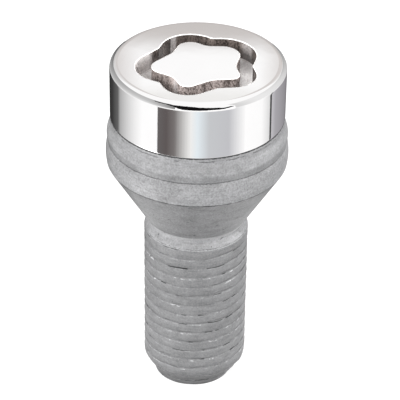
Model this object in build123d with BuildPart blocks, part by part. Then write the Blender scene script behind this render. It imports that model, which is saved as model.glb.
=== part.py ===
"""Locking wheel bolt: a one-piece steel bolt with a round head, a conical seat and a wavy key groove.

Millimetres, +Z along the bolt from its tip to its head, the centre of the tip face at the origin.
The screw thread is a fine surface form, so the shank here is plain at the thread's outside size.
"""
import math
import os

from build123d import *

# Thread and tip: an M14 shank with a tapered lead
thread_diameter = 14.0
tip_diameter = 10.2
lead_length = 3.1
tip_edge_radius = 0.25

# Heights along the bolt, from the head's top downwards
overall_length = 48.5
head_height = 8.9
upper_band_height = 2.35
upper_band_bevel = 0.55
lower_band_height = 3.25
neck_length = 0.8
neck_flare = 0.5

# Head, collar bands, seat cone and the relieved neck under it
head_diameter = 22.8
head_edge_radius = 0.9
upper_band_diameter = 23.7
waist_diameter = 23.5
collar_diameter = 24.0
cone_diameter = 23.7
cone_angle = 62.0
cone_edge_radius = 0.3
neck_diameter = 13.3
neck_fillet = 0.5

# Key groove: a closed slot of one width whose middle line winds round five lobes. Each lobe and
# each hollow has a corner at an angle about the axis and a distance from it, which is then rounded.
groove_width = 2.1
groove_depth = 2.75
groove_edge_break = 0.15
lobe_angles = [35.5, 107.3, 195.5, 255.1, 322.2]
lobe_distances = [9.1, 8.3, 9.1, 9.3, 8.7]
lobe_roundings = [3.45, 2.85, 2.95, 2.3, 2.15]
hollow_angles = [74.9, 147.9, 231.7, 289.2, 349.1]
hollow_distances = [5.25, 5.0, 6.35, 6.3, 5.95]
hollow_rounding = 1.6

# Sizes that follow from the ones above
thread_radius = thread_diameter / 2
tip_radius = tip_diameter / 2
neck_radius = neck_diameter / 2
head_radius = head_diameter / 2
upper_band_radius = upper_band_diameter / 2
waist_radius = waist_diameter / 2
collar_radius = collar_diameter / 2
cone_radius = cone_diameter / 2
head_bottom = overall_length - head_height
waist_height = head_bottom - upper_band_height
bevel_top = waist_height + upper_band_bevel
cone_top = waist_height - lower_band_height
cone_length = (cone_radius - neck_radius) / math.tan(math.radians(cone_angle / 2))
cone_bottom = cone_top - cone_length
neck_bottom = cone_bottom - neck_length
thread_top = neck_bottom - neck_flare


def corners_at(angles, distances):
    return [Vector(distance, 0).rotate(Axis.Z, angle) for angle, distance in zip(angles, distances)]


with BuildPart() as bolt:
    # The whole bolt turned from bar: half of its section, spun about its axis
    with BuildSketch(Plane.XZ) as half_section:
        with BuildLine():
            Polyline(
                (0, overall_length),
                (0, 0),
                (tip_radius, 0),
                (thread_radius, lead_length),
                (thread_radius, thread_top),
                (neck_radius, neck_bottom),
                (neck_radius, cone_bottom),
                (cone_radius, cone_top),
            )
            # The lower band is a shallow barrel
            ThreePointArc(
                (cone_radius, cone_top),
                (collar_radius, cone_top + lower_band_height / 2),
                (waist_radius, waist_height),
            )
            # The upper band is bevelled down to the waist and rolls in to the head above
            Line((waist_radius, waist_height), (upper_band_radius, bevel_top))
            TangentArc((upper_band_radius, bevel_top), (head_radius, head_bottom), tangent=(0, 1))
            Polyline(
                (head_radius, head_bottom),
                (head_radius, overall_length),
                (0, overall_length),
            )
        make_face()
    revolve(axis=Axis.Z)

    # Rounded head rim, softened cone edge, fillets at the relieved neck, and a broken edge at the tip
    for radius, height, rounding in (
        (head_radius, overall_length, head_edge_radius),
        (cone_radius, cone_top, cone_edge_radius),
        (neck_radius, cone_bottom, neck_fillet),
        (neck_radius, neck_bottom, neck_fillet),
        (tip_radius, 0, tip_edge_radius),
    ):
        rings = bolt.edges().filter_by(GeomType.CIRCLE)
        fillet(rings.sort_by_distance((radius, 0, height))[0], rounding)

    # The key groove: the middle line is a ten-cornered star with its corners rounded, widened
    # by half the slot's width to each side and cut straight down into the head
    with BuildSketch(Plane.XY.offset(overall_length)) as groove:
        with BuildSketch(mode=Mode.PRIVATE) as star:
            lobe_corners = corners_at(lobe_angles, lobe_distances)
            hollow_corners = corners_at(hollow_angles, hollow_distances)
            with BuildLine():
                corners = [corner for pair in zip(lobe_corners, hollow_corners) for corner in pair]
                Polyline(*corners, close=True)
            make_face()
            for corner, rounding in zip(lobe_corners, lobe_roundings):
                fillet(star.vertices().sort_by_distance(corner)[0], rounding)
            for corner in hollow_corners:
                fillet(star.vertices().sort_by_distance(corner)[0], hollow_rounding)
        offset(star.sketch, amount=groove_width / 2)
        offset(star.sketch, amount=-groove_width / 2, mode=Mode.SUBTRACT)
    extrude(amount=-groove_depth, mode=Mode.SUBTRACT)

    # The edges along both rims of the groove are broken
    rims = bolt.edges(Select.LAST).group_by(Axis.Z)[-1]
    chamfer(rims, groove_edge_break)

bolt.part.label = "locking_wheel_bolt"
os.makedirs("parts", exist_ok=True)
export_step(bolt.part, "parts/locking_wheel_bolt.step")
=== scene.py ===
import math

import bmesh
import bpy
import numpy as np
from mathutils import Matrix, Vector


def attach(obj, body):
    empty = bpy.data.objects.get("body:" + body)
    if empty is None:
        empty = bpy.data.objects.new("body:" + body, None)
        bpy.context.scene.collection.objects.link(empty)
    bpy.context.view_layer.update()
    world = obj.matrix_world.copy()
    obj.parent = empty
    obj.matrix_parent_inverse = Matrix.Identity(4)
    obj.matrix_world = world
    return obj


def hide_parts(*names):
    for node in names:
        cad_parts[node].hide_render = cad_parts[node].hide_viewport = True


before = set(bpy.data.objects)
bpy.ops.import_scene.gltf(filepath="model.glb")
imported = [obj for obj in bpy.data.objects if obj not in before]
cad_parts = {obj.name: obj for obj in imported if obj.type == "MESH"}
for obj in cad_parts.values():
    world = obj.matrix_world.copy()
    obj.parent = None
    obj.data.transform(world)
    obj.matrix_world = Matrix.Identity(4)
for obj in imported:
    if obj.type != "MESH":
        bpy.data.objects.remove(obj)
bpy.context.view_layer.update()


# Chrome plate over the whole round head. It is electroplated on polished steel, so it mirrors the
# studio almost sharply, with the faint waviness that thin plate has over a turned and forged face.
MM = 0.001


def fit(made, **sockets):
    """Sets a node's sockets: a value is typed in, another node's output is linked. A socket goes by
    its name, or by its number as i0, i1 and so on."""
    for name, value in sockets.items():
        key = int(name[1:]) if name[0] == "i" and name[1:].isdigit() else name.replace("_", " ")
        if isinstance(value, bpy.types.NodeSocket):
            made.id_data.links.new(value, made.inputs[key])
        else:
            made.inputs[key].default_value = value


def node(tree, kind, **sockets):
    made = tree.nodes.new(kind)
    fit(made, **sockets)
    return made


def stretched(place, scale):
    """A place scaled by its own amount along each axis."""
    made = node(place.id_data, "ShaderNodeVectorMath", i0=place, i1=scale)
    made.operation = "MULTIPLY"
    return made.outputs[0]


def noise(place, scale, detail=2.0, roughness=0.5):
    made = node(
        place.id_data, "ShaderNodeTexNoise", Vector=place, Scale=scale, Detail=detail, Roughness=roughness,
    )
    return made.outputs[0]


def blend(share, first, second):
    """A colour between two colours."""
    made = node(share.id_data, "ShaderNodeMix", Factor=share, i6=first, i7=second)
    made.data_type = "RGBA"
    return made.outputs[2]


def relief(height, strength, depth):
    """Fine ups and downs of a surface, with their depth in millimetres."""
    made = node(height.id_data, "ShaderNodeBump", Strength=strength, Distance=depth * MM, Height=height)
    return made.outputs[0]


def finish(name, metallic, roughness):
    """A new material with its one surface shader and the object's own coordinates in millimetres."""
    material = bpy.data.materials.new(name)
    material.use_nodes = True
    shader = material.node_tree.nodes["Principled BSDF"]
    fit(shader, Metallic=metallic, Roughness=roughness)
    place = node(material.node_tree, "ShaderNodeTexCoord").outputs["Object"]
    return material, shader, stretched(place, (1 / MM, 1 / MM, 1 / MM))


chrome, shader, place = finish("chrome_plate", 1.0, 0.04)
haze = noise(place, 0.35, 3.0)
plate_tint = blend(haze, (0.955, 0.945, 0.945, 1), (0.985, 0.98, 0.98, 1))
ripple = noise(place, 0.55, 1.0)
fit(shader, Base_Color=plate_tint, Normal=relief(ripple, 0.08, 0.02))


# The key groove's walls are cut by a plunging tool and plated thinly, so they are browner than the head,
# dull, and streaked up and down. Pale and dark stretches on them are painted highlights and painted shade,
# and the outer wall is darker than the island's wall by painted shade. The floor is near white and barely
# metallic, a painted reflection of the light that the plated floor throws back.
def maths(operation, first, second=0.0, clamp=False):
    """One sum, in the tree that its sockets belong to."""
    tree = next(value.id_data for value in (first, second) if isinstance(value, bpy.types.NodeSocket))
    made = node(tree, "ShaderNodeMath", i0=first, i1=second)
    made.operation = operation
    made.use_clamp = clamp
    return made.outputs[0]


def summed(*parts):
    total = parts[0]
    for part in parts[1:]:
        total = maths("ADD", total, part)
    return total


def times(*parts):
    product = parts[0]
    for part in parts[1:]:
        product = maths("MULTIPLY", product, part)
    return product


def over(first, second):
    return maths("DIVIDE", first, second)


def ramp(value, low, high, at_low=0.0, at_high=1.0):
    """Eases from one level to another while a value goes from low to high."""
    made = node(
        value.id_data, "ShaderNodeMapRange", Value=value,
        From_Min=low, From_Max=high, To_Min=at_low, To_Max=at_high,
    )
    made.interpolation_type = "SMOOTHSTEP"
    return made.outputs[0]


def between(value, low, high, soft):
    """1 where a value lies between two limits and 0 outside, with soft edges."""
    above = ramp(value, low - soft, low + soft)
    below = ramp(value, high - soft, high + soft, 1.0, 0.0)
    return times(above, below)


def drawn_noise(place, across, along, detail, roughness=0.5):
    """Noise with one scale across the bolt and another along it, for streaks and turning lines."""
    return noise(stretched(place, (across, across, along)), 1.0, detail, roughness)


def turn_about_axis(place):
    """How far round the bolt's axis a place lies, as a share of a turn from -0.5 to 0.5."""
    split = node(place.id_data, "ShaderNodeSeparateXYZ", Vector=place).outputs
    return over(maths("ARCTAN2", split["Y"], split["X"]), 2 * math.pi)


def groove_finish(name, metallic, roughness, dark, light, painted_light_marks):
    """Streaked metal. A mark is a stretch between two angles about the axis, with the softness of its
    ends, its colour and its strength: a pale mark is a painted highlight and a dark one painted shade."""
    material, shader, place = finish(name, metallic, roughness)
    speckle = drawn_noise(place, 5.0, 3.0, 4.0, 0.7)
    streaks = drawn_noise(place, 0.75, 0.04, 3.0, 0.7)
    share = summed(times(speckle, 0.65), times(streaks, 0.35))
    shades = node(material.node_tree, "ShaderNodeValToRGB", Fac=share)
    for element, spot, colour in zip(shades.color_ramp.elements, (0.43, 0.58), (dark, light)):
        element.position = spot
        element.color = (*colour, 1)
    tint = shades.outputs[0]
    bearing = times(maths("FRACT", summed(turn_about_axis(place), 1.0)), 360.0)
    for start, stop, soft, colour, strength in painted_light_marks:
        patchy = ramp(speckle, 0.35, 0.65, strength * 0.7, strength)
        tint = blend(times(between(bearing, start, stop, soft), patchy), tint, (*colour, 1))
    fit(shader, Base_Color=tint, Normal=relief(speckle, 0.4, 0.03))
    return material


# Tints of the painted highlights and the painted shade on the groove's walls
painted_highlight_tint = (0.97, 0.93, 0.92)
painted_shade_tint = (0.03, 0.024, 0.021)
# The outer wall's tones are darker than the island wall's by painted shade
outer_wall = groove_finish("groove_outer_wall", 0.3, 0.36, (0.017, 0.0135, 0.012), (0.15, 0.124, 0.112), [
    (114, 121, 1.0, painted_highlight_tint, 0.29),
    (84, 113, 1.5, painted_shade_tint, 0.5),
    (122, 130, 1.5, painted_shade_tint, 0.6),
    (161, 205, 5.0, painted_highlight_tint, 0.70),
    (29, 43, 4.0, painted_highlight_tint, 0.26),
    (2, 14, 4.0, painted_highlight_tint, 0.4),
    (17, 28, 4.0, painted_shade_tint, 0.5),
])
island_wall = groove_finish("groove_island_wall", 0.4, 0.34, (0.085, 0.068, 0.062), (0.47, 0.405, 0.385), [
    (236, 244, 3.0, painted_highlight_tint, 0.4),
    (196, 226, 3.0, painted_shade_tint, 0.4),
])
# The floor's near-white, barely metallic finish is a painted reflection
groove_bottom = groove_finish("groove_bottom", 0.1, 0.42, (0.76, 0.73, 0.72), (1.0, 0.98, 0.97), [])

# Along the groove's two rims the edges are broken. Their finish is a painted highlight: pale and barely
# metallic, so the rims show as bright lines beside the browner walls.
rim_highlight, shader, place = finish("rim_highlight", 0.3, 0.4)
rim_highlight_mottle = noise(place, 2.5, 3.0)
fit(shader, Base_Color=blend(rim_highlight_mottle, (0.90, 0.87, 0.85, 1), (1.0, 0.99, 0.98, 1)))

# The head: a round crowned button with a rounded rim, turned with the rest of the bolt. A closed
# wavy groove is sunk in its top, and only the key with the same wave goes in.
overall_length = 48.5
head_radius = 11.4
head_edge_radius = 0.9
head_bottom = 39.6
top_crown = 0.05
plate_edge = 40.75
plate_roll = 0.12
groove_width = 2.1
groove_depth = 2.75
groove_floor_radius = 0.3
edge_break = 0.08
lobes = [(35.5, 9.1, 3.45), (107.3, 8.3, 2.85), (195.5, 9.1, 2.95), (255.1, 9.3, 2.3), (322.2, 8.7, 2.15)]
hollows = [(74.9, 5.25), (147.9, 5.0), (231.7, 6.35), (289.2, 6.3), (349.1, 5.95)]
hollow_rounding = 1.6
# A narrow strip beside an edge keeps the edge's smooth shading off the flat next to it
strip = 0.06
# Every ring of the bolt has this many steps
columns = 288
around = np.arange(columns) * 2 * math.pi / columns


def star_line():
    """The groove's middle line: ten corners joined by straight runs, each corner rounded by an arc."""
    stations = []
    for lobe, hollow in zip(lobes, hollows):
        stations += [lobe, hollow + (hollow_rounding,)]
    corners = []
    for angle, distance, _ in stations:
        corners.append(distance * np.array((math.cos(math.radians(angle)), math.sin(math.radians(angle)))))
    points, normals = [], []
    for k, (_, _, rounding) in enumerate(stations):
        here = corners[k]
        arrive = here - corners[k - 1]
        leave = corners[(k + 1) % len(corners)] - here
        start = math.atan2(arrive[1], arrive[0])
        turn = (math.atan2(leave[1], leave[0]) - start + math.pi) % (2 * math.pi) - math.pi
        side = math.copysign(1.0, turn)
        run_up = rounding * math.tan(abs(turn) / 2)
        begin = here - arrive / np.linalg.norm(arrive) * run_up
        centre = begin + side * rounding * np.array((-math.sin(start), math.cos(start)))
        for heading in np.linspace(start, start + turn, 25):
            outward = np.array((math.sin(heading), -math.cos(heading)))
            points.append(centre + side * rounding * outward)
            normals.append(outward)
    return np.array(points), np.array(normals)


middle, outward = star_line()


def beside(distance):
    """Radius, in each column, of the line that runs beside the groove's middle at a distance."""
    edge = middle + outward * distance
    closed = np.vstack([edge, edge[:1]])
    along = np.linspace(0, 1, 12, endpoint=False)[:, None]
    fine = np.concatenate([a + (b - a) * along for a, b in zip(closed, closed[1:])])
    angle = np.arctan2(fine[:, 1], fine[:, 0]) % (2 * math.pi)
    order = np.argsort(angle)
    return np.interp(around, angle[order], np.hypot(fine[:, 0], fine[:, 1])[order], period=2 * math.pi)


def crown(radius):
    """Height of the head's slightly domed top."""
    return overall_length - top_crown * (np.asarray(radius) / head_radius) ** 2


def ring(radius, height):
    radius = np.broadcast_to(radius, columns)
    height = np.broadcast_to(height, columns)
    return np.stack([radius * np.cos(around), radius * np.sin(around), height], 1)


PLATE, EDGE, OUTER_WALL, ISLAND_WALL, BOTTOM, COAT = range(6)
rows, finishes = [], []


def add_ring(radius, height, material):
    """One more ring of the turned skin, with the finish of the strip that leads to it."""
    rows.append(ring(radius, height))
    finishes.append(material)


half = groove_width / 2
floor_height = overall_length - groove_depth


def add_broken_edge(side, flat_line, degrees, material):
    """A ring of the rounded edge between top and groove: side is -1 on the island and 1 on the rim."""
    bend = math.radians(degrees)
    line = beside(side * (half + edge_break * (1 - math.sin(bend))))
    add_ring(line, crown(flat_line) - edge_break * (1 - math.cos(bend)), material)


def add_floor_corner(side, degrees, material):
    """A ring of the rounded corner between the groove's wall and its floor."""
    bend = math.radians(degrees)
    line = beside(side * (half - groove_floor_radius * (1 - math.cos(bend))))
    add_ring(line, floor_height + groove_floor_radius * (1 - math.sin(bend)), material)


# The island inside the groove, from its middle out to the broken edge
island = beside(-half - edge_break)
for share in (0.3, 0.6, 0.85):
    add_ring(island * share, crown(island * share), PLATE)
island_flat = beside(-half - edge_break - strip)
add_ring(island_flat, crown(island_flat), PLATE)
for degrees in (0, 45, 90):
    add_broken_edge(-1, island, degrees, EDGE if degrees else PLATE)

# Down the inner wall, across the rounded floor and up the outer wall
lower_wall = np.linspace(overall_length - 0.6, floor_height + groove_floor_radius, 4)[:-1]
wall_heights = [overall_length - edge_break - strip, *lower_wall]
for height in wall_heights:
    add_ring(beside(-half), height, ISLAND_WALL)
for degrees in (0, 30, 60, 90):
    add_floor_corner(-1, degrees, BOTTOM if degrees else ISLAND_WALL)
add_ring(beside(0.0), floor_height, BOTTOM)
for degrees in (90, 60, 30, 0):
    add_floor_corner(1, degrees, BOTTOM)
for height in reversed(wall_heights):
    add_ring(beside(half), height, OUTER_WALL)

# The flat outside the groove, the rounded rim and the plain side down to the plate's rolled edge
rim = beside(half + edge_break)
for degrees in (90, 45, 0):
    add_broken_edge(1, rim, degrees, OUTER_WALL if degrees == 90 else EDGE)
flat_radius = head_radius - head_edge_radius
rim_flat = beside(half + edge_break + strip)
for share in (0.0, 0.5, 0.93, 1.0):
    out = rim_flat + (flat_radius - rim_flat) * share
    add_ring(out, crown(out), PLATE)
edge_height = float(crown(flat_radius)) - head_edge_radius
for bend in np.radians(np.arange(9, 91, 9)):
    rim_height = edge_height + head_edge_radius * math.cos(bend)
    add_ring(flat_radius + head_edge_radius * math.sin(bend), rim_height, PLATE)
roll_top = plate_edge + plate_roll
for height in (edge_height - strip, 46.0, 44.0, 42.2, roll_top + strip, roll_top):
    add_ring(head_radius, height, PLATE)
for bend in np.radians((30, 60, 90)):
    roll_height = plate_edge + plate_roll * (1 - math.sin(bend))
    add_ring(head_radius - plate_roll * (1 - math.cos(bend)), roll_height, PLATE)

# Dull grey coat on everything below the head: a baked film of zinc flakes, grainy on the collar where
# the forged skin shows through, smoother on the seat, where fine turning lines run round, with painted
# highlights and glints along the thread's crests. The cone, which faces down, is darker by painted shade.
# The neck between shine_foot and shine_top is smooth and brighter by a painted highlight, as it faces up.
bevel_top = 38.2
waist_height = 37.25
cone_top = 34.0
shine_top = 25.75
shine_foot = 23.8
thread_pitch = 1.5
thread_start = 0.25
collar_metallic = 0.42
thread_metallic = 0.30
collar_roughness = 0.42
thread_roughness = 0.55
coat, shader, place = finish("zinc_flake_coat", collar_metallic, collar_roughness)
fit(shader, Specular_IOR_Level=0.3)
height = node(coat.node_tree, "ShaderNodeSeparateXYZ", Vector=place).outputs["Z"]


def minus(first, second):
    return maths("SUBTRACT", first, second)


def about(value, strength):
    """A noise value as a swing to both sides of nought."""
    return times(minus(value, 0.5), strength)


ragged = summed(height, about(noise(place, 3.0, 3.0), 0.30))


def ragged_line(low, high, soft=0.04):
    """A line round the bolt between two heights, with uneven edges."""
    return between(ragged, low, high, soft)


# Where the coat is: the zones of the bolt from the collar down
on_bands = ramp(height, cone_top - 0.05, cone_top + 0.05)
# Painted shade on the bevel above the waist, which faces down
bevel_shade = between(height, waist_height, bevel_top, 0.06)
on_lower_band = between(height, cone_top, waist_height, 0.05)
on_cone = between(height, shine_top - 0.05, cone_top - 0.05, 0.08)
# Painted highlight on the neck's upper part, which faces up
neck_highlight = between(height, shine_top - 0.7, shine_top, 0.1)
on_neck = between(height, shine_foot, shine_top, 0.12)
on_thread = ramp(height, shine_foot - 0.08, shine_foot + 0.08, 1.0, 0.0)
on_lead = ramp(height, 2.2, 4.2, 1.0, 0.0)

# Ragged lines: painted shade in the step under the plate's edge, a dark line just below it, painted shade
# in the waist's crease, a dark line along the cone's edge, a broken dark line over the neck's lower lip with
# a painted highlight on the lip itself, and dark lines round the tip. Pits, scratches and smudges lie on the
# cone.
patches = noise(place, 0.55, 3.0, 0.6)
under_plate_shade = ragged_line(plate_edge - 0.15, plate_edge + 0.55)
second_line = times(ragged_line(plate_edge - 0.59, plate_edge - 0.45), ramp(patches, 0.50, 0.56))
waist_shade = ragged_line(waist_height - 0.07, waist_height + 0.07)
at_cone_edge = times(ragged_line(cone_top - 0.22, cone_top + 0.02), ramp(patches, 0.40, 0.54, 0.4, 1.0))
over_lip = times(ragged_line(shine_foot + 0.06, shine_foot + 0.15, 0.03), ramp(patches, 0.42, 0.52))
lip_highlight = ragged_line(shine_foot - 0.10, shine_foot + 0.02, 0.03)
tip_lines = times(
    summed(ragged_line(0.34, 0.44), ragged_line(1.12, 1.22)),
    ramp(noise(place, 0.5, 2.0), 0.40, 0.55),
)
pits = times(ramp(noise(place, 2.1, 1.0), 0.69, 0.72), between(height, shine_foot, 31.0, 0.2))
scratched = times(on_cone, ramp(drawn_noise(place, 0.22, 2.4, 4.0, 0.65), 0.52, 0.66))
smudged = times(on_cone, ramp(drawn_noise(place, 0.4, 0.7, 3.0, 0.7), 0.56, 0.70))

# Along the thread a helical phase goes from 0 to 1 between one root and the next. Towards the upper root
# the crest carries a painted highlight with painted glints, and the root painted shade in broken dashes.
# Each turn also gets painted shade towards its lower part.
laps = minus(over(minus(height, thread_start), thread_pitch), turn_about_axis(place))
phase = maths("FRACT", summed(laps, 20.0))
crest_highlight_patches = times(
    ramp(drawn_noise(place, 0.9, 0.5, 3.0), 0.46, 0.60),
    ramp(noise(place, 2.4, 2.0), 0.36, 0.60),
)
clusters = drawn_noise(place, 0.42, 0.55, 2.0)
glint_spots = ramp(drawn_noise(place, 1.7, 2.72, 1.0), 0.58, 0.64)
crest_highlight = times(on_thread, between(phase, 0.84, 0.92, 0.03), crest_highlight_patches)
root_shade = times(on_thread, between(phase, 0.925, 0.99, 0.015), ramp(clusters, 0.57, 0.61))
crest_glints = times(on_thread, between(phase, 0.80, 0.93, 0.03), glint_spots, ramp(clusters, 0.43, 0.47, 1.0, 0.0))
# Painted shade, deeper towards the lower part of each turn
turn_shade = times(on_thread, ramp(phase, 0.05, 0.80, 1.0, 0.0))

# The grey itself, with its grain, and how much darker each mark makes it, or brighter below nought
grain = noise(place, 4.2, 4.0, 0.65)
grain_strength = summed(
    0.36, times(on_bands, -0.08), times(on_lower_band, 0.06), times(on_neck, -0.10), times(on_thread, -0.10),
)
cloud = noise(place, 0.32, 2.0)
mottle = drawn_noise(place, 0.8, 1.3, 3.0, 0.6)
turning = drawn_noise(place, 0.12, 5.0, 3.0)
tone = summed(
    0.230, times(about(grain, 1.0), grain_strength), about(cloud, 0.09), about(mottle, 0.13),
    about(turning, 0.09),
)
for mark, amount in [
    # Painted shade under the plate's edge, on the bevel, which faces down, and in the waist's crease
    (under_plate_shade, 0.75), (second_line, 0.6), (bevel_shade, 0.17), (waist_shade, 0.55), (at_cone_edge, 0.8),
    # The cone is darkened by painted shade, as it faces down; its scratches, smudges and pits are the coat's
    # own
    (on_cone, 0.29), (scratched, 0.13), (smudged, 0.25), (pits, 0.6),
    # Painted highlights on the neck, which faces up, and on its lower lip
    (neck_highlight, -0.28), (on_neck, -0.08), (over_lip, 0.4), (lip_highlight, -0.4),
    # Painted shade on each turn's lower part and in the roots, painted highlights and glints on the crests
    (on_thread, 0.32), (turn_shade, 0.12), (crest_highlight, -0.45), (root_shade, 0.8), (crest_glints, -1.0),
    (on_lead, 0.30), (tip_lines, 0.7),
]:
    tone = times(tone, minus(1.0, times(mark, amount)))
greys = node(
    coat.node_tree, "ShaderNodeCombineColor", Red=tone, Green=times(tone, 1.003), Blue=times(tone, 1.02),
)
# The flakes lie flat and shine on the smooth collar and neck, less on the rolled thread
fit(
    shader, Base_Color=greys.outputs[0], Normal=relief(grain, 0.3, 0.05),
    Metallic=ramp(on_thread, 0.0, 1.0, collar_metallic, thread_metallic),
    Roughness=ramp(on_thread, 0.0, 1.0, collar_roughness, thread_roughness),
)

# Collar, seat and neck, turned on the same blank: two shallow barrels with a thin waist between them,
# the cone that centres the wheel, and a relieved neck that flares out to the thread. A fine step
# under the plate's edge marks where the coat begins.
upper_band_radius = 11.85
upper_band_middle = (11.72, 38.93)
waist_radius = 11.75
collar_radius = 12.0
cone_radius = 11.85
cone_angle = 62.0
neck_radius = 6.45
neck_length = 0.25
neck_flare = 1.25
thread_radius = 7.0
cone_length = (cone_radius - neck_radius) / math.tan(math.radians(cone_angle / 2))
cone_bottom = cone_top - cone_length
neck_bottom = cone_bottom - neck_length
thread_top = neck_bottom - neck_flare
waver_seeds = np.random.default_rng(14)


def waver(size):
    """A slow irregular swing round the ring, as a forged and hand-dressed edge has."""
    swing = np.zeros(columns)
    for waves in range(2, 24):
        start = waver_seeds.uniform(0, 2 * math.pi)
        swing += np.sin(waves * around + start) * waver_seeds.uniform(0.3, 1) / math.sqrt(waves)
    return size * swing / np.abs(swing).max()


def barrel(upper, middle_point, lower, count):
    """Points on the arc through three places of the section, without the two ends."""
    (x1, y1), (x2, y2), (x3, y3) = upper, middle_point, lower
    d = 2 * (x1 * (y2 - y3) + x2 * (y3 - y1) + x3 * (y1 - y2))
    s1, s2, s3 = x1**2 + y1**2, x2**2 + y2**2, x3**2 + y3**2
    cx = (s1 * (y2 - y3) + s2 * (y3 - y1) + s3 * (y1 - y2)) / d
    cy = (s1 * (x3 - x2) + s2 * (x1 - x3) + s3 * (x2 - x1)) / d
    size = math.hypot(x1 - cx, y1 - cy)
    bends = np.linspace(math.atan2(y1 - cy, x1 - cx), math.atan2(y3 - cy, x3 - cx), count + 1)
    return [(cx + size * math.cos(bend), cy + size * math.sin(bend)) for bend in bends[1:-1]]


# The step: how far in from the head's side, how far below the plate's edge, and its share of the waver
seam = waver(0.03)
for inward, below, share in ((0.16, 0.02, 0.0), (0.14, 0.08, 1.0), (0.02, 0.14, 1.0)):
    add_ring(head_radius - inward, plate_edge - below + seam * share, COAT)
add_ring(head_radius - 0.01, (plate_edge + head_bottom) / 2, COAT)
add_ring(head_radius, head_bottom + 0.08, COAT)
for radius, level in barrel((head_radius, head_bottom), upper_band_middle, (upper_band_radius, bevel_top), 9):
    add_ring(radius, level, COAT)
bevel = waver(0.04)
add_ring(upper_band_radius, bevel_top + 0.06 + bevel, COAT)
add_ring(upper_band_radius - 0.02, bevel_top - 0.06 + bevel, COAT)
waist = waver(0.03)
add_ring(waist_radius + 0.03, waist_height + 0.12 + waist, COAT)
add_ring(waist_radius - 0.02, waist_height + waist, COAT)
lower_band_middle = (collar_radius, (waist_height + cone_top) / 2)
for radius, level in barrel((waist_radius, waist_height), lower_band_middle, (cone_radius, cone_top), 14):
    add_ring(radius, level, COAT)
cone_edge = waver(0.05)
add_ring(cone_radius + 0.03, cone_top + 0.08 + cone_edge, COAT)
add_ring(cone_radius - 0.05, cone_top - 0.06 + cone_edge, COAT)
for share in (0.03, 0.1, 0.2, 0.3, 0.4, 0.5, 0.6, 0.7, 0.8, 0.9, 0.975, 1.0):
    add_ring(cone_radius + (neck_radius - cone_radius) * share, cone_top - cone_length * share, COAT)
for share in (0.2, 0.6, 1.0):
    add_ring(neck_radius, cone_bottom - neck_length * share, COAT)
for share in (0.1, 0.25, 0.4, 0.55, 0.7, 0.85):
    swell = math.sin(share * math.pi / 2)
    add_ring(neck_radius + (thread_radius - neck_radius) * swell, neck_bottom - neck_flare * share, COAT)
add_ring(thread_radius, thread_top, COAT)

# Tip: a flat end with a softened edge, sheared and dressed before the thread was rolled. It stands out
# from the lead a little to one side, as an off-centre stub.
tip_radius = 5.1
tip_edge = thread_start
stub_radius = 5.05
stub_shift = 0.45
tip_line = np.maximum(tip_radius, stub_radius - stub_shift * np.cos(around))
tip_rows = [ring(tip_line, tip_edge)]
for bend in np.radians((30, 60, 90)):
    tip_rows.append(ring(tip_line - tip_edge * (1 - math.cos(bend)), tip_edge * (1 - math.sin(bend))))
tip_rows += [ring(tip_line * share, 0.0) for share in (0.92, 0.6, 0.25)]


def skin(name, rings, materials, pole, pole_first):
    """A mesh of rings joined strip by strip, closed at one end by a fan to a pole."""
    points = [tuple(point) for one_ring in rings for point in one_ring] + [pole]
    faces, used = [], []
    fan = len(points) - 1
    for j in range(columns):
        k = (j + 1) % columns
        if pole_first:
            faces.append((fan, j, k))
            used.append(materials[0])
        for row in range(len(rings) - 1):
            a, b = row * columns, (row + 1) * columns
            faces.append((a + j, b + j, b + k, a + k))
            used.append(materials[row + 1])
        if not pole_first:
            last = (len(rings) - 1) * columns
            faces.append((last + j, fan, last + k))
            used.append(materials[-1])
    mesh = bpy.data.meshes.new(name)
    mesh.from_pydata([(x * MM, y * MM, z * MM) for x, y, z in points], [], faces)
    mesh.polygons.foreach_set("material_index", used)
    return mesh


upper_skin = skin("head_collar_seat", rows, finishes, (0, 0, overall_length), True)
tip_skin = skin("tip", tip_rows, [COAT] * len(tip_rows), (0, 0, 0), False)

# Thread: M14 x 1.5, right-hand, rolled between dies after the blank was turned. The crests are a little
# uneven, the first turn runs out into the neck and the last ones into the tapered lead.
thread_sizes = {
    "Outside radius": thread_radius * MM,
    "Pitch": thread_pitch * MM,
    "Depth": 0.27 * MM,
    "Lead depth": 0.14 * MM,
    "Lean": 0.055 * MM,
    "Sway": 0.5 * MM,
    "Bottom": thread_start * MM,
    "Top": thread_top * MM,
    "Tip radius": tip_radius * MM,
    "Stub radius": stub_radius * MM,
    "Stub shift": stub_shift * MM,
    "Lead length": 2.9 * MM,
    "Run-out": 1.0 * MM,
    "Unevenness": 0.26 * MM,
}
rows_per_pitch = 12
row_crowding = 0.75
root_half_width = 0.12
lumps_per_metre = 700.0
turns = math.ceil((thread_top - tip_edge) / thread_pitch) + 1
rolled_thread = bpy.data.node_groups.new("rolled_thread", "GeometryNodeTree")
rolled_thread.interface.new_socket("Thread", in_out="OUTPUT", socket_type="NodeSocketGeometry")
for name in thread_sizes:
    rolled_thread.interface.new_socket(name, in_out="INPUT", socket_type="NodeSocketFloat")
rolled_thread.interface.new_socket("Coat", in_out="INPUT", socket_type="NodeSocketMaterial")
given = node(rolled_thread, "NodeGroupInput").outputs


def unit(value):
    """A value kept between 0 and 1."""
    return maths("MINIMUM", maths("MAXIMUM", value, 0.0), 1.0)


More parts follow.
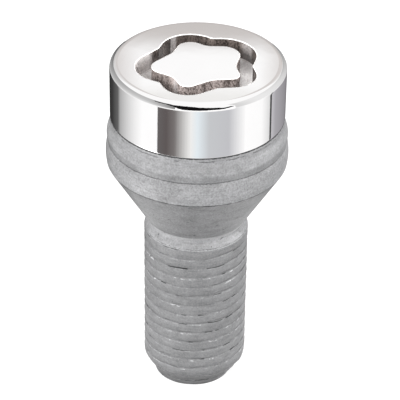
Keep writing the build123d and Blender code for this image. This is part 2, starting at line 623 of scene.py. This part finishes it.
# A flat sheet, one turn wide, is wound round the shank; the rows of each turn crowd together at the root
sheet = node(
    rolled_thread, "GeometryNodeMeshGrid", Size_X=1.0, Size_Y=1.0,
    Vertices_X=columns + 1, Vertices_Y=turns * rows_per_pitch + 1,
)
spot = node(rolled_thread, "GeometryNodeInputPosition").outputs[0]
flat = node(rolled_thread, "ShaderNodeSeparateXYZ", Vector=spot).outputs
turn_share = summed(flat["X"], 0.5)
even = times(summed(flat["Y"], 0.5), float(turns))
crowd = times(maths("SINE", times(even, 2 * math.pi)), row_crowding / (2 * math.pi))
climb = minus(even, crowd)
rise = times(minus(summed(climb, turn_share), 1.0), given["Pitch"])
level = maths("MINIMUM", maths("MAXIMUM", summed(given["Bottom"], rise), given["Bottom"]), given["Top"])
swing = times(turn_share, 2 * math.pi)
across = maths("COSINE", swing)
away = maths("SINE", swing)
# Noise on this place runs round the shank without a seam
round_place = node(
    rolled_thread, "ShaderNodeCombineXYZ", X=across, Y=away, Z=times(level, lumps_per_metre),
).outputs[0]

# Across one pitch: a wide crest that leans out towards its upper edge, and a narrow root at the ends.
# The coat fills the root in places, so the groove comes and goes.
lap = maths("FRACT", summed(climb, 0.0001))
from_root = minus(0.5, maths("ABSOLUTE", minus(lap, 0.5)))
flank = unit(minus(1.0, over(from_root, root_half_width)))
cut = times(flank, flank, minus(3.0, times(flank, 2.0)))
run_out = unit(over(minus(given["Top"], level), given["Run-out"]))
open_share = unit(over(minus(noise(round_place, 2.4, 3.0), 0.46), 0.22))
rolled_in = times(cut, run_out, open_share, given["Depth"])
lean = times(minus(1.0, lap), run_out, given["Lean"])
threaded = minus(minus(given["Outside radius"], rolled_in), lean)

# The tapered lead, faintly scored by the thread, with the stub standing out below it
lead_share = over(minus(level, given["Bottom"]), given["Lead length"])
taper = minus(given["Outside radius"], given["Tip radius"])
lead = summed(given["Tip radius"], times(taper, lead_share))
scored = times(cut, unit(times(lead_share, 2.2)), given["Lead depth"])
stub = minus(given["Stub radius"], times(given["Stub shift"], across))
radius = maths("MAXIMUM", maths("MINIMUM", threaded, minus(lead, scored)), stub)

# Dents and a slow sway of the turns, both away from the two ends, which have to meet their neighbours
inside_ends = times(run_out, unit(times(lead_share, 3.0)))
dip = maths("MINIMUM", minus(noise(round_place, 5.5, 4.0), 0.55), 0.0)
radius = summed(radius, times(dip, inside_ends, given["Unevenness"]))
sway = times(about(noise(round_place, 2.6, 2.0), inside_ends), given["Sway"])
wound = node(
    rolled_thread, "ShaderNodeCombineXYZ",
    X=times(radius, across), Y=times(radius, away), Z=summed(level, sway),
)
wrap = node(
    rolled_thread, "GeometryNodeSetPosition", Geometry=sheet.outputs["Mesh"], Position=wound.outputs[0],
)
weld = node(rolled_thread, "GeometryNodeMergeByDistance", Geometry=wrap.outputs[0], Distance=0.001 * MM)
real = node(rolled_thread, "GeometryNodeRealizeInstances", Geometry=weld.outputs[0])
coated = node(rolled_thread, "GeometryNodeSetMaterial", Geometry=real.outputs[0], Material=given["Coat"])
node(rolled_thread, "NodeGroupOutput", Thread=coated.outputs[0])


def into_scene(name, data):
    made = bpy.data.objects.new(name, data)
    bpy.context.scene.collection.objects.link(made)
    return made


roller = into_scene("thread_roller", bpy.data.meshes.new("thread_roller"))
rolling = roller.modifiers.new("rolled_thread", "NODES")
rolling.node_group = rolled_thread
for item in rolled_thread.interface.items_tree:
    if item.in_out == "INPUT":
        rolling[item.identifier] = coat if item.name == "Coat" else thread_sizes[item.name]
thread_skin = bpy.data.meshes.new_from_object(roller.evaluated_get(bpy.context.evaluated_depsgraph_get()))
roller.modifiers.remove(rolling)
bpy.data.objects.remove(roller)
thread_skin.polygons.foreach_set("material_index", [COAT] * len(thread_skin.polygons))

# The bolt is one piece of steel, forged, turned and rolled, so its three skins are welded into one
# closed mesh. Its finishes stand in the order of PLATE to COAT.
blank = bmesh.new()
for part_skin in (upper_skin, thread_skin, tip_skin):
    blank.from_mesh(part_skin)
bmesh.ops.remove_doubles(blank, verts=blank.verts, dist=0.002 * MM)
bmesh.ops.dissolve_degenerate(blank, edges=blank.edges, dist=0.0005 * MM)
bmesh.ops.recalc_face_normals(blank, faces=blank.faces)
bolt_mesh = bpy.data.meshes.new("wheel_bolt")
blank.to_mesh(bolt_mesh)
blank.free()
for material in (chrome, rim_highlight, outer_wall, island_wall, groove_bottom, coat):
    bolt_mesh.materials.append(material)
bolt_mesh.shade_smooth()
bolt_mesh.set_sharp_from_angle(angle=math.radians(32))
bolt = into_scene("wheel_bolt", bolt_mesh)
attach(bolt, "root")
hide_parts("locking_wheel_bolt")


# Studio table: a white sheet, which keeps a faint shadow and which the metal sees as white. From here on
# places and sizes are in metres.
def bare_tree(owner):
    """The emptied node tree of a material or the world."""
    owner.use_nodes = True
    owner.node_tree.nodes.clear()
    return owner.node_tree


def in_view(tree):
    """1 for what the camera sees, straight or mirrored in metal, and 0 for light that falls on things."""
    ray = node(tree, "ShaderNodeLightPath").outputs
    return maths("ADD", ray["Is Camera Ray"], ray["Is Glossy Ray"], clamp=True)


white = (1, 1, 1, 1)
floor_mesh = bpy.data.meshes.new("floor")
floor_mesh.from_pydata([(-2, -2, 0), (2, -2, 0), (2, 2, 0), (-2, 2, 0)], [], [(0, 1, 2, 3)])
floor = into_scene("floor", floor_mesh)
paper = bpy.data.materials.new("white_paper")
paper_tree = bare_tree(paper)
bounce = node(paper_tree, "ShaderNodeBsdfDiffuse", Color=(0.4, 0.4, 0.4, 1))
sheet_face = node(paper_tree, "ShaderNodeBsdfDiffuse", Color=(0.86, 0.86, 0.86, 1))
glow = node(paper_tree, "ShaderNodeEmission", Color=white, Strength=0.84)
shade = node(paper_tree, "ShaderNodeMixShader", Fac=0.8, i1=sheet_face.outputs[0], i2=glow.outputs[0])
lift = node(paper_tree, "ShaderNodeEmission", Color=white, Strength=0.18)
lit = node(paper_tree, "ShaderNodeAddShader", i0=shade.outputs[0], i1=lift.outputs[0])
pick = node(
    paper_tree, "ShaderNodeMixShader", Fac=in_view(paper_tree), i1=bounce.outputs[0], i2=lit.outputs[0],
)
node(paper_tree, "ShaderNodeOutputMaterial", Surface=pick.outputs[0])
floor_mesh.materials.append(paper)

# Studio cards: white, grey and black sheets round the bolt, seen only in its polished faces. Each is a
# sheet of patches with a tone at every corner. Directions are degrees from the side that the
# photograph was taken from, counted to the right.
studio_card = bpy.data.materials.new("studio_card")
card_tree = bare_tree(studio_card)
card_tone = node(card_tree, "ShaderNodeAttribute")
card_tone.attribute_name = "tone"
card_light = node(card_tree, "ShaderNodeEmission", Color=card_tone.outputs["Color"], Strength=1.0)
node(card_tree, "ShaderNodeOutputMaterial", Surface=card_light.outputs[0])


def card(name, places, tones):
    """A sheet over a grid of places, rows by columns, with the tone of each."""
    tall, wide = len(places), len(places[0])
    mesh = bpy.data.meshes.new(name)
    faces = []
    for r in range(tall - 1):
        for c in range(wide - 1):
            faces.append((r * wide + c, r * wide + c + 1, (r + 1) * wide + c + 1, (r + 1) * wide + c))
    mesh.from_pydata([place for row in places for place in row], [], faces)
    colours = mesh.attributes.new("tone", "FLOAT_COLOR", "POINT")
    for spot_colour, value in zip(colours.data, [tone for row in tones for tone in row]):
        spot_colour.color = (*(float(v) for v in np.broadcast_to(value, 3)), 1)
    mesh.materials.append(studio_card)
    made = into_scene(name, mesh)
    made.visible_camera = False
    made.visible_diffuse = False
    made.visible_transmission = False
    made.visible_shadow = False


def round_place_at(reach, direction, up):
    """A place by its reach from the bolt's axis, its direction in degrees and its height."""
    return reach * math.sin(math.radians(direction)), -reach * math.cos(math.radians(direction)), up


# A ring of cards lies just above the table, and the head's side mirrors it. The tone runs evenly from one
# direction to the next and jumps where a direction is named twice.
ring_reaches = (0.03, 0.12, 0.15)
ring_height = 0.0004
ring_tones = [
    (-180, 0.02), (-140, 0.045), (-120, 0.13), (-114, 0.43), (-86, 0.85), (-72, 1.03), (-49.5, 1.03),
    (-49.5, (0.135, 0.125, 0.125)), (-38, (0.116, 0.10, 0.10)), (-28, (0.19, 0.175, 0.172)),
    (-8, (0.88, 0.88, 0.87)), (0, (0.79, 0.86, 0.90)), (14, (0.575, 0.59, 0.61)),
    (38, (0.55, 0.555, 0.58)), (60, 1.0), (60, 1.03), (86, 1.0), (101.8, 0.72), (101.8, 0.07),
    (105.6, 0.07), (105.6, (0.56, 0.55, 0.58)), (115, (0.40, 0.39, 0.415)), (142, (0.30, 0.29, 0.31)),
    (180, 0.10),
]
ring_stretches = [(a, b) for a, b in zip(ring_tones, ring_tones[1:]) if a[0] < b[0]]
shares = np.linspace(0, 1, 7)
for number, ((start, first_tone), (stop, last_tone)) in enumerate(ring_stretches):
    directions = start + (stop - start) * shares
    tones = [np.add(first_tone, np.subtract(last_tone, first_tone) * share) for share in shares]
    places = [[round_place_at(reach, d, ring_height) for d in directions] for reach in ring_reaches]
    card(f"round_card_{number}", places, [tones, tones, [1.0] * len(shares)])

# A brighter patch of the table at the left front, too near for the head to mirror, lights the collar's coat
low_height = 0.0008
glow_directions = (-86, -76, -66, -55, -50.5)
glow_reaches = (0.040, 0.050, 0.068, 0.0735)
glow_edge = (1.0, 1.3, 1.6, 1.8, 1.6)
glow_middle = (1.0, 2.2, 3.6, 4.2, 4.0)
places = [[round_place_at(reach, d, low_height) for d in glow_directions] for reach in glow_reaches]
card("glow_card", places, [glow_edge, glow_middle, glow_middle, glow_edge])

# Sheets standing at both sides, grey at the left and paler at the right, which the rounded rim mirrors.
# Each has its first and last direction, its tones, how high its top stands as seen from the head in
# degrees, and the share of its tone at the foot, the middle and the top. Above the top it is pale.
sheet_reach = 0.151
sheet_foot = 0.002
side_sheets = [
    (-165, -26, (0.06, 0.30, 0.42, 0.47, 0.55, 0.58, 0.56, 0.44, 0.22),
     (10, 20, 30, 37, 41, 44, 46, 45, 38), (1.4, 1.0, 0.85)),
    (45, 165, (0.66, 0.77, 0.85, 0.84, 0.79, 0.74, 0.66, 0.50, 0.28),
     (45, 46, 46, 44, 41, 36, 30, 24, 12), (1.0, 1.0, 1.0)),
]
for number, (start, stop, sheet_tones, tops, fall) in enumerate(side_sheets):
    directions = np.linspace(start, stop, len(sheet_tones))
    heights = 0.046 + sheet_reach * np.tan(np.radians(tops))
    places = []
    for up_share in (0.0, 0.4, 1.0, 1.12):
        ups = sheet_foot + heights * up_share
        places.append([round_place_at(sheet_reach, d, up) for d, up in zip(directions, ups)])
    tones = [np.multiply(sheet_tones, tone_share) for tone_share in fall]
    card(f"side_sheet_{number}", places, [*tones, [0.96] * len(sheet_tones)])

# A card behind the bolt, which its flat top mirrors: grey low down and at the sides, white in the middle.
# Each row has its angle above the head's top, and its tones in the middle, at the left and at the right.
behind = 0.5
card_columns = [-0.4, -0.10, -0.043, -0.027, 0.028, 0.042, 0.14, 0.4]
card_rows = [
    (0.0, (0.50, 0.47, 0.46), 0.04, 0.20),
    (12.0, (0.51, 0.48, 0.47), 0.08, 0.26),
    (19.0, (0.52, 0.49, 0.48), 0.50, 0.55),
    (25.5, (0.58, 0.55, 0.535), 0.66, 0.72),
    (26.8, (0.60, 0.57, 0.555), 0.74, 0.86),
    (27.3, (0.70, 0.68, 0.67), 0.74, 0.86),
    (28.2, 1.0, 0.74, 0.86),
    (30.3, 1.0, 0.74, 0.86),
    (30.9, (0.87, 0.865, 0.85), 0.74, 0.86),
    (44.0, 0.96, 0.96, 0.96),
]
warm = np.array((1.015, 0.965, 0.945))
places, tones = [], []
for angle, middle_tone, left_tone, right_tone in card_rows:
    up = overall_length * MM + behind * math.tan(math.radians(angle))
    places.append([(x, behind, up) for x in card_columns])
    near_left = np.minimum(middle_tone, 0.64 * warm)
    near_right = np.minimum(middle_tone, 0.66 * warm)
    left_side = [left_tone, np.add(left_tone, near_left) / 2, near_left]
    tones.append([*left_side, middle_tone, middle_tone, near_right, near_right, right_tone])
card("card_behind", places, tones)

# A black flag with a torn edge on the camera's side draws the dark line on the rim. Its outline is given
# by a direction and the angles, seen from the head, of its lower and upper edges there.
flag_reach = 0.145
flag_level = 0.048
flag_columns = 70
flag_rows = 9
flag_shape = [
    (-62, 37, 42), (-49, 33, 43), (-42, 34, 47), (-36, 28, 44), (-30, 22, 42), (-26, 14, 46),
    (-22, -4, 47), (-17, -9, 47), (-8, -10, 46), (0, -11, 40), (7, -10, 34), (16, -7, 28),
    (24, -9, 23), (31, -8, 14), (38, 2, 18), (43, 8, 14),
]
shape_directions, lower_edge, upper_edge = np.array(flag_shape).T
directions = np.linspace(shape_directions[0], shape_directions[-1], flag_columns)
torn = np.random.default_rng(5)
lower_edge = np.interp(directions, shape_directions, lower_edge) + torn.uniform(-1.5, 1.5, flag_columns)
upper_edge = np.interp(directions, shape_directions, upper_edge) + torn.uniform(-2.5, 2.5, flag_columns)
places = []
for share in np.linspace(0, 1, flag_rows):
    row = []
    for direction, angle in zip(directions, np.radians(lower_edge + (upper_edge - lower_edge) * share)):
        up = flag_level + flag_reach * math.sin(angle)
        row.append(round_place_at(flag_reach * math.cos(angle), direction, up))
    places.append(row)
card("black_flag", places, [[0.006] * flag_columns] * flag_rows)

# A white strip lies in front of the flag's foot and turns up against it
directions = np.linspace(-49, 46, 20)
strip_rows = [(0.10, low_height), (0.147, low_height), (0.147, 0.012)]
places = [[round_place_at(reach, d, up) for d in directions] for reach, up in strip_rows]
card("white_strip", places, [[1.0] * len(directions)] * len(strip_rows))

# Light: an even white room and four soft lamps, the strongest at the left front, then the right and the
# back, and a weak one above. The polished faces don't mirror the lamps.
world = bpy.data.worlds.new("white_room")
bpy.context.scene.world = world
room_tree = bare_tree(world)
room = node(room_tree, "ShaderNodeBackground", Color=white, Strength=0.42)
backdrop = node(room_tree, "ShaderNodeBackground", Color=white, Strength=1.0)
pick = node(
    room_tree, "ShaderNodeMixShader", Fac=in_view(room_tree), i1=room.outputs[0], i2=backdrop.outputs[0],
)
node(room_tree, "ShaderNodeOutputWorld", Surface=pick.outputs[0])
lamp_target = Vector((0, 0, 0.028))


def lamp(name, place, size, power):
    light = bpy.data.lights.new(name, "AREA")
    light.size = size
    light.energy = power
    made = into_scene(name, light)
    made.location = place
    made.rotation_euler = (lamp_target - Vector(place)).to_track_quat("-Z", "Y").to_euler()
    made.visible_glossy = False


lamp("soft_lamp_left", (-0.31, -0.43, 0.30), 0.26, 8.6)
lamp("soft_lamp_right", (0.50, 0.02, 0.14), 0.26, 5.6)
lamp("soft_lamp_above", (0.0, -0.10, 0.60), 0.5, 0.6)
lamp("soft_lamp_back", (-0.12, 0.50, 0.36), 0.4, 4.5)

# Camera: 26 cm away and 33 degrees above the table, tipped by a degree as the photograph is. The lens is
# given by its focal length in the photograph's pixels.
elevation = math.radians(32.76)
roll = 0.01543
distance = 0.26008
target = np.array((0.482, 0.0, 27.337)) * MM
focal_pixels = 1945.94
photo_width_pixels = 400
sensor_width = 36.0
forward = np.array((0.0, math.cos(elevation), -math.sin(elevation)))
right = np.array((1.0, 0.0, 0.0))
up = np.array((0.0, math.sin(elevation), math.cos(elevation)))
camera_right = right * math.cos(roll) + up * math.sin(roll)
camera_up = up * math.cos(roll) - right * math.sin(roll)
lens = bpy.data.cameras.new("camera")
lens.sensor_width = sensor_width
lens.lens = focal_pixels * sensor_width / photo_width_pixels
lens.clip_start = 0.01
camera = into_scene("camera", lens)
turned = Matrix(np.stack([camera_right, camera_up, -forward], 1).tolist()).to_4x4()
camera.matrix_world = Matrix.Translation((target - forward * distance).tolist()) @ turned
bpy.context.scene.camera = camera
bpy.context.scene.view_settings.view_transform = "Standard"
